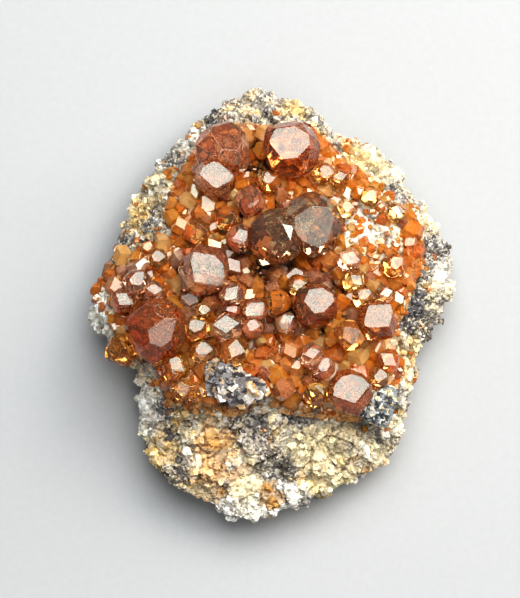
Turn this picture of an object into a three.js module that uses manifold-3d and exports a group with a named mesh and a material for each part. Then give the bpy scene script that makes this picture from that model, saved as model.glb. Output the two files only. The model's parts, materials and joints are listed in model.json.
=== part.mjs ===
// Garnet in matrix: orange-brown garnet crystals grown over one side of a piece of pale rock.
// Units are millimetres, +Z is up. The rock rests on its flat underside at z = 0, its origin is under
// its middle, +X runs to the right and +Y to the far end, where the two crown crystals stand.

import * as THREE from 'three';
import { ConvexHull } from 'three/addons/math/ConvexHull.js';
import { ConvexGeometry } from 'three/addons/geometries/ConvexGeometry.js';
import { ImprovedNoise } from 'three/addons/math/ImprovedNoise.js';
import { mergeVertices } from 'three/addons/utils/BufferGeometryUtils.js';
import Module from 'manifold-3d';

const { smoothstep, lerp, degToRad } = THREE.MathUtils;

// ---------------------------------------------------------------- driving dimensions

const CREST_HEIGHT = 20; // top of the crust at the middle of the crystal field
const DOME_DROP = 0.0046; // fall of the dome in mm for each mm² from the middle
const LOW_END_DROP = 4.6; // how far the near block lies below the crystal field
const LOW_END = { from: 16, to: 20 }; // where that drop begins and ends, along -Y
const RIM_HEIGHT = 7.5; // height at which the rock is widest
const SHOULDER_START = 0.5; // part of the way out where the top starts to round over
const FOOT_SCALE = 0.83; // flat underside, as a part of the widest outline
const LUMP_SIZE = 9; // spacing of the broad lumps in the rock
const LUMP_HEIGHT = 0.7;
const KNOB_SIZE = 3.6; // spacing of the smaller knobs on its sides
const KNOB_HEIGHT = 0.5;

const SPOKES = 64; // points round every ring of the rock and the crust
const FIELD_RINGS = 6; // rings under the crust
const MARGIN_SHARES = [0.25, 0.75, 1]; // rings from the crust to the widest outline
const SIDE_RINGS = 5;

const GAP = 0.32; // clearance between pieces that touch
const CRUST_DEPTH = 1.3; // from the rock to the tips of the small crystals
const CRUST_EDGE = 0.4; // the same at the edge of the crust

// The widest outline of the rock, seen from above, anticlockwise from the right.
const ROCK_OUTLINE = [
  [30.6, 4.4], [29.6, 9.6], [27.8, 13.6], [25.4, 16.4], [22.4, 21.4], [19.8, 25],
  [16.4, 27.2], [12, 27.2], [8, 30.4], [6.4, 33.4], [3, 34.4], [0, 36], [-5.2, 35.2],
  [-8.4, 33.2], [-12.4, 31.2], [-15.4, 28], [-20, 22.4], [-23.2, 17], [-25.2, 12.4],
  [-26.2, 8], [-29, 3.6], [-30.2, 0.2], [-30.2, -3.8], [-27.6, -7.6], [-24, -9.6],
  [-21.8, -13.8], [-21.6, -21.2], [-20.8, -25.4], [-16.6, -29.8], [-11.6, -32.8],
  [-7.4, -35.2], [-1.8, -36], [3.4, -34.2], [8, -32], [15.4, -28.4], [20.2, -25.8],
  [22, -21.8], [23.8, -16], [24.4, -11], [25.4, -6.8], [28, -4.4], [29.8, -0.8],
];

// How far the crust of small crystals reaches, seen from above, anticlockwise from the right.
const CRUST_OUTLINE = [
  [24, 2], [25.4, 9], [23, 15], [18, 19], [12, 23], [8, 28], [0, 28.5], [-9, 28.5],
  [-13.5, 24], [-17, 17], [-20, 9], [-27, 5], [-27.8, -1], [-26.4, -6], [-20, -10],
  [-17.5, -17], [-9, -19.5], [0, -19], [9, -20], [16, -20], [21.6, -13], [21, -6],
];

// Garnets of 1.3 mm radius and more. Crystals with one name are grown into each other. `face` is the
// kind of face turned upwards, `lean` tips that face to +X and +Y, `turn` spins the crystal about it in
// degrees, and `habit` runs from 0.87, all rhombs, to 1.15, all kites. `lift` is how far the middle
// stands above the crystal's seat, in radii. `top` below 1 brings the upturned face nearer to the
// middle, which makes it broad; without it the face lies at TOP_FACE.
const CRYSTALS = [
  { name: 'garnet_left_shoulder', x: -18.5, y: -6.8, r: 5.3, face: 'rhomb', lean: [-0.2, 0.05], turn: 35,
    habit: 1.0, lift: 0.42, top: 1, tone: 'deep' },
  { name: 'garnet_smoky_pair', x: 6.7, y: 10.1, r: 5.0, face: 'kite', lean: [0.04, -0.3], turn: 70,
    habit: 1.03, lift: 0.5, top: 0.82, tone: 'smoky' },
  { name: 'garnet_smoky_pair', x: 0.8, y: 7.9, r: 4.7, face: 'rhomb', lean: [-0.22, -0.12], turn: 10,
    habit: 1.02, lift: 0.42, tone: 'smoky' },
  { name: 'garnet_crown_right', x: 3.2, y: 23, r: 4.8, face: 'kite', lean: [-0.16, 0.06], turn: 25,
    habit: 1.06, lift: 0.55, top: 0.83, tone: 'deep' },
  { name: 'garnet_crown_left', x: -7.9, y: 23, r: 4.7, face: 'kite', lean: [0.24, 0.36], turn: 80,
    habit: 1.08, lift: 0.45, tone: 'brown' },
  { name: 'garnet_pale_face', x: -10.9, y: 2.5, r: 4.3, face: 'rhomb', lean: [0.2, -0.16], turn: 15,
    habit: 0.98, lift: 0.5, top: 0.8, tone: 'brown' },
  { name: 'garnet_middle', x: 7.1, y: -3.3, r: 3.7, face: 'kite', lean: [0.05, 0.1], turn: 30,
    habit: 1.04, lift: 0.45, top: 0.83, tone: 'deep' },
  { name: 'garnet_front_right', x: 12.6, y: -17, r: 3.7, face: 'rhomb', lean: [0, 0.02], turn: 60,
    habit: 0.96, lift: 0.5, top: 0.78, tone: 'deep' },
  { name: 'garnet_crown_front', x: -9.3, y: 18.5, r: 3.5, face: 'rhomb', lean: [0.18, -0.08], turn: 50,
    habit: 1.0, lift: 0.55, top: 0.8, tone: 'brown' },
  { name: 'garnet_striped', x: 16.8, y: -5.5, r: 3.5, face: 'rhomb', lean: [0.12, 0.14], turn: 85,
    habit: 0.95, lift: 0.5, top: 0.8, tone: 'deep' },

  { name: 'garnet_left_edge', x: -24.5, y: -9.3, r: 2.7, face: 'kite', lean: [-0.2, -0.1], turn: 0,
    habit: 1.0, lift: 0.5, tone: 'orange' },
  { name: 'garnet_neck', x: -3.5, y: 14.2, r: 2.6, face: 'rhomb', lean: [-0.25, 0.1], turn: 20,
    habit: 1.0, lift: 0.6, tone: 'brown' },
  { name: 'garnet_centre_left', x: -7.1, y: -6.8, r: 2.6, face: 'rhomb', lean: [-0.05, 0.15], turn: 40,
    habit: 0.94, lift: 0.45, tone: 'brown' },
  { name: 'garnet_foot', x: -6.1, y: -10.5, r: 2.6, face: 'kite', lean: [0.05, 0], turn: 10,
    habit: 1.05, lift: 0.45, tone: 'orange' },
  { name: 'garnet_right_round', x: 12.6, y: -7.9, r: 2.6, face: 'kite', lean: [0, -0.2], turn: 55,
    habit: 1.1, lift: 0.45, tone: 'orange' },
  { name: 'garnet_hub', x: 0.7, y: -2.8, r: 2.4, face: 'kite', lean: [-0.15, -0.1], turn: 75,
    habit: 1.04, lift: 0.5, tone: 'amber' },
  { name: 'garnet_waist', x: -5.1, y: 8, r: 2.4, face: 'rhomb', lean: [0.1, 0.1], turn: 65,
    habit: 1.02, lift: 0.55, tone: 'brown' },
  { name: 'garnet_left_foot', x: -15.5, y: -13, r: 2.4, face: 'rhomb', lean: [0, 0.15], turn: 0,
    habit: 1.0, lift: 0.45, tone: 'orange' },
  { name: 'garnet_pentagon', x: -12.2, y: -6.9, r: 2.3, face: 'kite', lean: [-0.02, 0.04], turn: 45,
    habit: 1.0, lift: 0.7, tone: 'orange' },
  { name: 'garnet_row', x: -12.1, y: 9.4, r: 2.2, face: 'kite', lean: [0.1, -0.2], turn: 30,
    habit: 1.08, lift: 0.4, tone: 'orange' },
  { name: 'garnet_bright_pair', x: -2.7, y: -4.2, r: 2.3, face: 'rhomb', lean: [0, 0.08], turn: 80,
    habit: 0.97, lift: 0.6, tone: 'brown' },
  { name: 'garnet_bright_pair', x: -3.1, y: -6.6, r: 2.0, face: 'kite', lean: [-0.05, 0], turn: 15,
    habit: 1.02, lift: 0.5, tone: 'brown' },
  { name: 'garnet_left_lobe', x: -21.9, y: 1.3, r: 2.3, face: 'kite', lean: [0, 0.05], turn: 70,
    habit: 1.0, lift: 0.6, tone: 'brown' },
  { name: 'garnet_left_lobe', x: -24.1, y: -1.5, r: 2.2, face: 'rhomb', lean: [-0.08, 0.02], turn: 5,
    habit: 0.98, lift: 0.5, tone: 'brown' },
  { name: 'garnet_pearl', x: -6.5, y: -1.5, r: 2.1, face: 'rhomb', lean: [0.06, 0], turn: 95,
    habit: 0.98, lift: 0.65, tone: 'brown' },
  { name: 'garnet_tan', x: -7.2, y: 11.5, r: 2.1, face: 'kite', lean: [-0.1, -0.15], turn: 40,
    habit: 1.05, lift: 0.5, tone: 'orange' },
  { name: 'garnet_right_lilac', x: 12.6, y: 4.5, r: 2.1, face: 'rhomb', lean: [0.02, 0.06], turn: 25,
    habit: 0.97, lift: 0.5, tone: 'brown' },
  { name: 'garnet_right_far', x: 19.9, y: 3.8, r: 2.1, face: 'kite', lean: [0.1, 0.1], turn: 60,
    habit: 1.06, lift: 0.4, tone: 'amber' },
  { name: 'garnet_right_near', x: 18.7, y: -11.7, r: 2.1, face: 'rhomb', lean: [0.1, 0.05], turn: 10,
    habit: 1.0, lift: 0.45, tone: 'orange' },
  { name: 'garnet_front_pair', x: 6.5, y: -11.3, r: 2.1, face: 'rhomb', lean: [-0.06, 0.1], turn: 50,
    habit: 1.0, lift: 0.45, tone: 'brown' },
  { name: 'garnet_front_pair', x: 8.3, y: -13.1, r: 2.0, face: 'kite', lean: [0.06, 0.02], turn: 85,
    habit: 1.0, lift: 0.5, tone: 'orange' },
  { name: 'garnet_front_flat', x: 7.1, y: -17.2, r: 2.1, face: 'rhomb', lean: [-0.15, -0.05], turn: 30,
    habit: 1.0, lift: 0.3, tone: 'orange' },
  { name: 'garnet_knuckle', x: -11.1, y: -10.5, r: 2.1, face: 'kite', lean: [0.02, 0.1], turn: 20,
    habit: 1.0, lift: 0.5, tone: 'orange' },
  { name: 'garnet_left_toe', x: -14.7, y: -16.3, r: 1.9, face: 'kite', lean: [0.1, -0.2], turn: 50,
    habit: 1.08, lift: 0.4, tone: 'orange' },
  { name: 'garnet_left_toe', x: -12.1, y: -16.8, r: 1.7, face: 'rhomb', lean: [-0.1, -0.1], turn: 5,
    habit: 1.0, lift: 0.4, tone: 'orange' },
  { name: 'garnet_bead', x: -0.6, y: 17.8, r: 2.0, face: 'kite', lean: [0.05, 0.25], turn: 35,
    habit: 1.08, lift: 0.5, tone: 'orange' },
  { name: 'garnet_bud', x: -6.4, y: -4, r: 1.7, face: 'kite', lean: [-0.1, 0.05], turn: 60,
    habit: 1.0, lift: 0.4, tone: 'brown' },
  { name: 'garnet_hub_low', x: 2.3, y: -5.9, r: 1.9, face: 'rhomb', lean: [0.1, 0.1], turn: 75,
    habit: 1.02, lift: 0.45, tone: 'brown' },
  { name: 'garnet_hub_high', x: 4.3, y: 0.3, r: 1.8, face: 'kite', lean: [0, -0.15], turn: 40,
    habit: 1.05, lift: 0.4, tone: 'amber' },
  { name: 'garnet_long_amber', x: 13.3, y: 1.1, r: 1.9, face: 'rhomb', lean: [0.2, -0.1], turn: 15,
    habit: 1.0, lift: 0.45, tone: 'amber' },
  { name: 'garnet_long_amber', x: 14.9, y: -1.7, r: 1.9, face: 'kite', lean: [0, 0.06], turn: 65,
    habit: 0.98, lift: 0.5, tone: 'orange' },
  { name: 'garnet_dark_bar', x: 18.3, y: -1, r: 1.6, face: 'rhomb', lean: [0.25, 0], turn: 70,
    habit: 1.0, lift: 0.5, tone: 'deep' },
  { name: 'garnet_yellow_ball', x: -11.1, y: -4.1, r: 1.4, face: 'kite', lean: [0.1, 0.1], turn: 30,
    habit: 1.1, lift: 0.9, tone: 'amber' },
  { name: 'garnet_yellow_foot', x: 17.4, y: -14.1, r: 1.8, face: 'kite', lean: [0.05, -0.1], turn: 20,
    habit: 1.06, lift: 0.4, tone: 'amber' },
  { name: 'garnet_far_right_pair', x: 8.6, y: 19.4, r: 1.9, face: 'kite', lean: [0.1, 0.05], turn: 10,
    habit: 1.05, lift: 0.45, tone: 'orange' },
  { name: 'garnet_far_right_pair', x: 11.1, y: 18.6, r: 1.6, face: 'rhomb', lean: [0, 0.1], turn: 55,
    habit: 1.0, lift: 0.4, tone: 'orange' },
  { name: 'garnet_rim_row', x: 16.1, y: 15.6, r: 1.6, face: 'kite', lean: [0.1, 0], turn: 80,
    habit: 1.05, lift: 0.4, tone: 'orange' },
  { name: 'garnet_rim_amber', x: 20.5, y: 13.2, r: 1.7, face: 'rhomb', lean: [0.1, 0.1], turn: 35,
    habit: 1.02, lift: 0.4, tone: 'amber' },
  { name: 'garnet_beside_smoky', x: 12.1, y: 13.2, r: 1.6, face: 'kite', lean: [0.15, 0.1], turn: 25,
    habit: 1.0, lift: 0.5, tone: 'orange' },
  { name: 'garnet_left_step', x: -19.1, y: -0.5, r: 1.7, face: 'rhomb', lean: [0.05, 0.05], turn: 45,
    habit: 1.0, lift: 0.5, tone: 'brown' },
  { name: 'garnet_left_high', x: -18.5, y: 5.1, r: 1.7, face: 'kite', lean: [-0.1, 0.1], turn: 15,
    habit: 1.04, lift: 0.4, tone: 'orange' },
];

const TONES = {
  deep: { color: 0x7a2a12, roughness: 0.12 },
  brown: { color: 0x8c4a2c, roughness: 0.14 },
  smoky: { color: 0x7d5c45, roughness: 0.16 },
  orange: { color: 0xb5571f, roughness: 0.18 },
  amber: { color: 0xd58a2a, roughness: 0.18 },
};
const ROCK_FINISH = { color: 0xd9cfae, roughness: 0.85 };
const CRUST_FINISH = { color: 0xb86a2c, roughness: 0.35 };
const SMOKY_FINISH = { color: 0x3f3f44, roughness: 0.35 };
const QUARTZ_FINISH = { color: 0x5f6a7c, roughness: 0.25 };

// ---------------------------------------------------------------- solids and booleans

const wasm = await Module();
wasm.setup();

function toSolid(geometry) {
  const bare = geometry.clone();
  bare.deleteAttribute('normal');
  bare.deleteAttribute('uv');
  const merged = mergeVertices(bare, 1e-4);
  const mesh = new wasm.Mesh({
    numProp: 3,
    vertProperties: new Float32Array(merged.attributes.position.array),
    triVerts: new Uint32Array(merged.index.array),
  });
  return new wasm.Manifold(mesh);
}

function toGeometry(solid) {
  const mesh = solid.getMesh();
  const geometry = new THREE.BufferGeometry();
  geometry.setAttribute('position', new THREE.BufferAttribute(mesh.vertProperties.slice(), 3));
  geometry.setIndex(new THREE.BufferAttribute(mesh.triVerts.slice(), 1));
  return geometry;
}

function largestBody(solid) {
  const bodies = solid.decompose();
  bodies.sort((a, b) => b.volume() - a.volume());
  return bodies[0];
}

// ---------------------------------------------------------------- rock

const noise = new ImprovedNoise();

// Radius of a closed outline about the origin, looked up by direction.
function outlineLookup(points) {
  const steps = 720;
  const corners = points.map(([x, y]) => new THREE.Vector3(x, y, 0));
  const curve = new THREE.CatmullRomCurve3(corners, true, 'centripetal');
  const samples = curve.getSpacedPoints(steps);
  const polar = samples.map((p) => ({ angle: Math.atan2(p.y, p.x), radius: Math.hypot(p.x, p.y) }));
  polar.sort((a, b) => a.angle - b.angle);
  return (angle) => {
    const wrapped = Math.atan2(Math.sin(angle), Math.cos(angle));
    const next = polar.findIndex((p) => p.angle >= wrapped);
    const after = polar[next < 0 ? 0 : next];
    const before = polar[next <= 0 ? polar.length - 1 : next - 1];
    const gap = after.angle - before.angle;
    const share = gap > 0 ? (wrapped - before.angle) / gap : 0;
    return lerp(before.radius, after.radius, share);
  };
}

const rockRadius = outlineLookup(ROCK_OUTLINE);
const crustRadius = outlineLookup(CRUST_OUTLINE);

// Top of the specimen without its larger crystals: the tips of the crust, or bare rock outside it.
function surfaceHeight(x, y) {
  const reach = Math.hypot(x, y) / rockRadius(Math.atan2(y, x));
  const dome = CREST_HEIGHT - DOME_DROP * (x * x + y * y);
  const open = dome - LOW_END_DROP * smoothstep(-y, LOW_END.from, LOW_END.to);
  const over = THREE.MathUtils.clamp((reach - SHOULDER_START) / (1 - SHOULDER_START), 0, 1);
  const shoulder = Math.sqrt(1 - over ** 2.4);
  const lump = LUMP_HEIGHT * noise.noise(x / LUMP_SIZE, y / LUMP_SIZE, 4.2);
  return lerp(RIM_HEIGHT, open, shoulder) + lump;
}

const ANGLES = Array.from({ length: SPOKES }, (_, spoke) => (spoke / SPOKES) * 2 * Math.PI);

// One ring of points on the surface, sunk by a depth. `radiusAt` gives the radius for each angle.
function ringOf(radiusAt, depth) {
  return ANGLES.map((angle) => {
    const x = Math.cos(angle) * radiusAt(angle);
    const y = Math.sin(angle) * radiusAt(angle);
    return new THREE.Vector3(x, y, surfaceHeight(x, y) - depth);
  });
}

function crustDepth(share) {
  return lerp(CRUST_DEPTH, CRUST_EDGE, smoothstep(share, 0.75, 1));
}

function sidePoint(angle, share) {
  const around = 30 / KNOB_SIZE;
  const knob = noise.noise(Math.cos(angle) * around, Math.sin(angle) * around, share * 3.1);
  const outline = rockRadius(angle);
  const top = surfaceHeight(Math.cos(angle) * outline, Math.sin(angle) * outline);
  const taper = lerp(1, FOOT_SCALE, share ** 1.8);
  const radius = outline * taper + 2 * KNOB_HEIGHT * knob * Math.sin(Math.PI * share);
  const height = top * (1 - share ** 1.25);
  return new THREE.Vector3(Math.cos(angle) * radius, Math.sin(angle) * radius, height);
}

// Closed body from rings of points: each ring runs anticlockwise, from the top middle to the foot middle.
// Each four-cornered cell is split along its shorter diagonal, so that parallel surfaces split alike.
function bodyFromRings(top, rings, foot) {
  const points = [top, ...rings.flat(), foot];
  const count = SPOKES;
  const last = points.length - 1;
  const index = [];
  for (let s = 0; s < count; s += 1) {
    const next = (s + 1) % count;
    index.push(0, 1 + s, 1 + next);
    for (let ring = 0; ring < rings.length - 1; ring += 1) {
      const a = 1 + ring * count;
      const b = a + count;
      const down = points[a + s].distanceTo(points[b + next]);
      const up = points[a + next].distanceTo(points[b + s]);
      if (down < up) {
        index.push(a + s, b + s, b + next, a + s, b + next, a + next);
      } else {
        index.push(a + s, b + s, a + next, a + next, b + s, b + next);
      }
    }
    const rim = 1 + (rings.length - 1) * count;
    index.push(last, rim + next, rim + s);
  }
  const geometry = new THREE.BufferGeometry().setFromPoints(points);
  geometry.setIndex(index);
  return geometry;
}

function rockGeometry() {
  const rings = [];
  for (let ring = 1; ring <= FIELD_RINGS; ring += 1) {
    const share = ring / FIELD_RINGS;
    rings.push(ringOf((angle) => crustRadius(angle) * share, crustDepth(share) + GAP));
  }
  for (const share of MARGIN_SHARES) {
    rings.push(ringOf((angle) => lerp(crustRadius(angle), rockRadius(angle), share), 0));
  }
  for (let ring = 1; ring <= SIDE_RINGS; ring += 1) {
    rings.push(ANGLES.map((angle) => sidePoint(angle, ring / SIDE_RINGS)));
  }
  const top = new THREE.Vector3(0, 0, surfaceHeight(0, 0) - CRUST_DEPTH - GAP);
  return bodyFromRings(top, rings, new THREE.Vector3(0, 0, 0));
}

// The crust lies on the rock's own rings, so that the two stay a clearance apart.
function crustGeometry() {
  const rings = [];
  for (let ring = 1; ring <= FIELD_RINGS; ring += 1) {
    rings.push(ringOf((angle) => (crustRadius(angle) * ring) / FIELD_RINGS, 0));
  }
  for (let ring = FIELD_RINGS; ring >= 1; ring -= 1) {
    const share = ring / FIELD_RINGS;
    rings.push(ringOf((angle) => crustRadius(angle) * share, crustDepth(share)));
  }
  const top = new THREE.Vector3(0, 0, surfaceHeight(0, 0));
  return bodyFromRings(top, rings, new THREE.Vector3(0, 0, surfaceHeight(0, 0) - CRUST_DEPTH));
}

// A flat seat on the surface at x, y: its slope follows the surface, and it clears every lump within reach.
function seatOn(x, y, reach) {
  const height = surfaceHeight(x, y);
  const slopeX = (surfaceHeight(x + reach, y) - surfaceHeight(x - reach, y)) / (2 * reach);
  const slopeY = (surfaceHeight(x, y + reach) - surfaceHeight(x, y - reach)) / (2 * reach);
  let lump = 0;
  for (const angle of ANGLES) {
    for (const part of [0.5, 1]) {
      const dx = Math.cos(angle) * reach * part;
      const dy = Math.sin(angle) * reach * part;
      const above = surfaceHeight(x + dx, y + dy) - (height + slopeX * dx + slopeY * dy);
      lump = Math.max(lump, above);
    }
  }
  const normal = new THREE.Vector3(-slopeX, -slopeY, 1).normalize();
  return { normal, place: new THREE.Vector3(x, y, height + lump + GAP) };
}

// ---------------------------------------------------------------- garnet crystals

function makeRandom(seed) {
  let state = seed;
  return () => {
    state = (Math.imul(state, 1664525) + 1013904223) >>> 0;
    return state / 4294967296;
  };
}

function signedPermutations(a, b, c) {
  const found = new Map();
  for (const [x, y, z] of [[a, b, c], [b, c, a], [c, a, b], [a, c, b], [c, b, a], [b, a, c]]) {
    for (const sx of [-1, 1]) {
      for (const sy of [-1, 1]) {
        for (const sz of [-1, 1]) {
          const normal = new THREE.Vector3(x * sx, y * sy, z * sz).normalize();
          found.set(normal.toArray().map((v) => v.toFixed(4) * 1).join(), normal);
        }
      }
    }
  }
  return [...found.values()];
}

const RHOMBS = signedPermutations(1, 1, 0); // the 12 faces of a rhombic dodecahedron
const KITES = signedPermutations(2, 1, 1); // the 24 faces of a trapezohedron
const FACE_SPREAD = 0.12; // how unevenly the faces of one crystal have grown
const FACE_REACH = 0.93; // distance of a kite face from the middle, in radii
const TOP_FACE = 0.88; // the same for the face turned upwards
const CORNER_MERGE = 0.08; // corners closer than this are one

// The crystal's own faces, turned as it stands. Every distance is from the crystal's middle.
function ownPlanes(crystal, seed) {
  const random = makeRandom(seed);
  const upright = crystal.face === 'rhomb' ? [1, 1, 0] : [2, 1, 1];
  const from = new THREE.Vector3(...upright).normalize();
  const up = new THREE.Vector3(crystal.lean[0], crystal.lean[1], 1).normalize();
  const tilt = new THREE.Quaternion().setFromUnitVectors(from, up);
  const turned = new THREE.Quaternion().setFromAxisAngle(up, degToRad(crystal.turn)).multiply(tilt);
  const topFace = crystal.top ?? TOP_FACE;
  const planesOf = (normals, reach) => normals.map((plain) => {
    const normal = plain.clone().applyQuaternion(turned);
    const grown = 1 + FACE_SPREAD * (random() - 0.5);
    const distance = crystal.r * reach * (normal.dot(up) > 0.999 ? topFace : grown);
    return { normal, distance };
  });
  return [...planesOf(KITES, FACE_REACH), ...planesOf(RHOMBS, FACE_REACH * crystal.habit)];
}

// The body that all the planes enclose: each corner of the dual hull is a face here, and the reverse.
function enclosedBody(planes) {
  const duals = planes.map((p) => p.normal.clone().divideScalar(p.distance));
  const hull = new ConvexHull().setFromPoints(duals);
  const corners = [];
  for (const face of hull.faces) {
    const corner = face.normal.clone().divideScalar(face.constant);
    if (corners.every((other) => other.distanceTo(corner) > CORNER_MERGE)) {
      corners.push(corner);
    }
  }
  return new ConvexGeometry(corners);
}

// Where two neighbours meet, each ends on a flat a clearance apart, through the seam of their outer faces.
function seamPlane(crystal, middle, other, otherMiddle) {
  const across = otherMiddle.clone().sub(middle);
  const apart = across.length();
  if (apart > (crystal.r + other.r) * 1.15) {
    return null;
  }
  const seam = (apart ** 2 + crystal.r ** 2 - other.r ** 2) / (2 * apart);
  const distance = THREE.MathUtils.clamp(seam, 0.25 * crystal.r, apart - 0.25 * other.r) - GAP / 2;
  return { normal: across.divideScalar(apart), distance };
}

function garnetBodies() {
  const seats = CRYSTALS.map((crystal) => seatOn(crystal.x, crystal.y, crystal.r));
  const middles = CRYSTALS.map((crystal, i) => {
    const rise = (crystal.lift * crystal.r) / seats[i].normal.z;
    return seats[i].place.clone().add(new THREE.Vector3(0, 0, rise));
  });
  return CRYSTALS.map((crystal, i) => {
    const seat = { normal: seats[i].normal.clone().negate(), distance: crystal.lift * crystal.r };
    const seams = CRYSTALS.map((other, j) => (
      other.name === crystal.name ? null : seamPlane(crystal, middles[i], other, middles[j])
    ));
    const planes = [...ownPlanes(crystal, 101 + i * 7), seat, ...seams.filter(Boolean)];
    const grown = planes.map((p) => ({ normal: p.normal, distance: p.distance + GAP }));
    const { x, y, z } = middles[i];
    return {
      name: crystal.name,
      tone: crystal.tone,
      geometry: enclosedBody(planes).translate(x, y, z),
      cutter: enclosedBody(grown).translate(x, y, z),
    };
  });
}

// ---------------------------------------------------------------- dark plates

// A stack of rough plates on one outline, each smaller and shifted, lying on its seat.
function plateStack({ outline, x, y, reach, layers, thickness }) {
  const seat = seatOn(x, y, reach);
  const lie = new THREE.Quaternion().setFromUnitVectors(new THREE.Vector3(0, 0, 1), seat.normal);
  let stack = null;
  for (let layer = 0; layer < layers; layer += 1) {
    const scale = 1 - 0.16 * layer;
    const corners = outline.map(([px, py]) => new THREE.Vector2(px * scale, py * scale));
    const depth = thickness * (layer + 1);
    const slab = new THREE.ExtrudeGeometry(new THREE.Shape(corners), { depth, bevelEnabled: false });
    slab.translate(0.35 * layer, -0.3 * layer, 0);
    slab.applyQuaternion(lie);
    slab.translate(seat.place.x, seat.place.y, seat.place.z);
    const solid = toSolid(slab);
    stack = stack ? stack.add(solid) : solid;
  }
  return stack;
}

const SMOKY_PLATE = {
  outline: [[-4.3, 3.2], [-4.2, 0.4], [-4.9, -0.9], [-3.9, -1.9], [-1.5, -3.2], [1, -3.7],
    [3.8, -2.4], [5, -1.3], [4.4, 0], [0.9, 1.6], [-0.8, 3.9], [-3, 4]],
  x: -5.8, y: -15.4, reach: 4.6, layers: 3, thickness: 0.6,
};
const QUARTZ_CHIP = {
  outline: [[-2.3, 1.5], [-2.9, -0.5], [-1.5, -1.8], [0.6, -3.1], [2.7, -1.8], [3.4, 1.4],
    [3.4, 3], [1.8, 3.5], [0.8, 2.4], [-1, 2.6]],
  x: 16.3, y: -18.4, reach: 3.4, layers: 3, thickness: 0.7,
};

// ---------------------------------------------------------------- assembly

function addMesh(group, name, geometry, finish) {
  const material = new THREE.MeshStandardMaterial({ ...finish, metalness: 0 });
  const mesh = new THREE.Mesh(geometry, material);
  mesh.name = name;
  group.add(mesh);
}

const specimen = new THREE.Group();
addMesh(specimen, 'matrix', rockGeometry(), ROCK_FINISH);
addMesh(specimen, 'small_garnet_crust', crustGeometry(), CRUST_FINISH);

const bodies = garnetBodies();
const garnets = new THREE.Group();
for (const name of new Set(bodies.map((body) => body.name))) {
  const parts = bodies.filter((body) => body.name === name);
  const joined = parts.map((part) => toSolid(part.geometry)).reduce((sum, part) => sum.add(part));
  addMesh(garnets, name, toGeometry(joined), TONES[parts[0].tone]);
}
specimen.add(garnets);

function clearOfGarnets(solid) {
  const cut = bodies.reduce((left, body) => left.subtract(toSolid(body.cutter)), solid);
  return toGeometry(largestBody(cut));
}

addMesh(specimen, 'smoky_plate', clearOfGarnets(plateStack(SMOKY_PLATE)), SMOKY_FINISH);
addMesh(specimen, 'quartz_chip', clearOfGarnets(plateStack(QUARTZ_CHIP)), QUARTZ_FINISH);

export default specimen;
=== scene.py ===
"""Garnet in matrix: the looks of a mineral specimen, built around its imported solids.

Every length is in metres. The rock rests at z = 0, +X runs to the right, +Y to the far end, and the large
garnets stay as modelled. This script adds the broken surface of the rock, its grains, the crust of small
garnets, the dark minerals, every finish and the stage.
"""

import itertools
import json
import math
import random

import bmesh
import bpy
import numpy as np
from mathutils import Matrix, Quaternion, Vector, noise
from mathutils.bvhtree import BVHTree
from mathutils.kdtree import KDTree


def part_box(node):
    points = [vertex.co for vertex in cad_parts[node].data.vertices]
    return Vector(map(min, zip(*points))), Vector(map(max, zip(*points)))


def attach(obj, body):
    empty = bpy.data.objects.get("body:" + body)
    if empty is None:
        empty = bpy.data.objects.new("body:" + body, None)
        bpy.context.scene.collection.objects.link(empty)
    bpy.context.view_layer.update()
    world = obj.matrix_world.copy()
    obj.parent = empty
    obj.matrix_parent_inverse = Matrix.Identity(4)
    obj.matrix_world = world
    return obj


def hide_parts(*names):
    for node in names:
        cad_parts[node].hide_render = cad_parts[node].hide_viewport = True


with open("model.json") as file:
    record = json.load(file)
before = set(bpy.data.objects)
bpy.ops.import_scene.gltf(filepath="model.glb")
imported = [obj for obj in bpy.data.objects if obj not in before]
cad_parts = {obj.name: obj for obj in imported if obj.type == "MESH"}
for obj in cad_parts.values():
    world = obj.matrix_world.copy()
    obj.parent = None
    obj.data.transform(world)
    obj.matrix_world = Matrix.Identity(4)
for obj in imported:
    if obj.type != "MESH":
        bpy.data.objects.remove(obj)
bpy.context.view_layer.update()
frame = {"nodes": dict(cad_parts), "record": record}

bl_info = {
    "name": "Garnet in Matrix",
    "version": (1, 0, 0),
    "blender": (4, 5, 0),
    "location": "3D View > Sidebar > Specimen",
    "description": "Builds the rock, the garnets and the stage of a garnet specimen",
    "category": "Object",
}

MM = 0.001
ROCK_NODE = "matrix"
CRUST_NODE = "small_garnet_crust"
PLATE_NODE = "smoky_plate"
CHIP_NODE = "quartz_chip"
UP = Vector((0, 0, 1))
# Middle of the crystal field: x, y.
FIELD_MIDDLE = (-2 * MM, 3 * MM)
# The left lobe, where small crystals reach over the rim: x, y, reach in mm.
LOBE = (-26.5, 3, 5.5)


def srgb(red, green, blue):
    """Linear colour from the usual 0 to 255 values."""
    return tuple(((v / 255 + 0.055) / 1.055) ** 2.4 if v > 10 else v / 3294 for v in (red, green, blue))


# ------------ settings a user would change


def length(name, description, default):
    return bpy.props.FloatProperty(
        name=name, description=description, default=default, min=0, unit="LENGTH", precision=5
    )


def colour(name, description, default):
    return bpy.props.FloatVectorProperty(
        name=name, description=description, default=default, min=0, max=1, size=3, subtype="COLOR"
    )


def amount(name, description, default):
    return bpy.props.IntProperty(name=name, description=description, default=default, min=0)


def power(name, description, default):
    return bpy.props.FloatProperty(name=name, description=description, default=default, min=0, unit="POWER")


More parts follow.
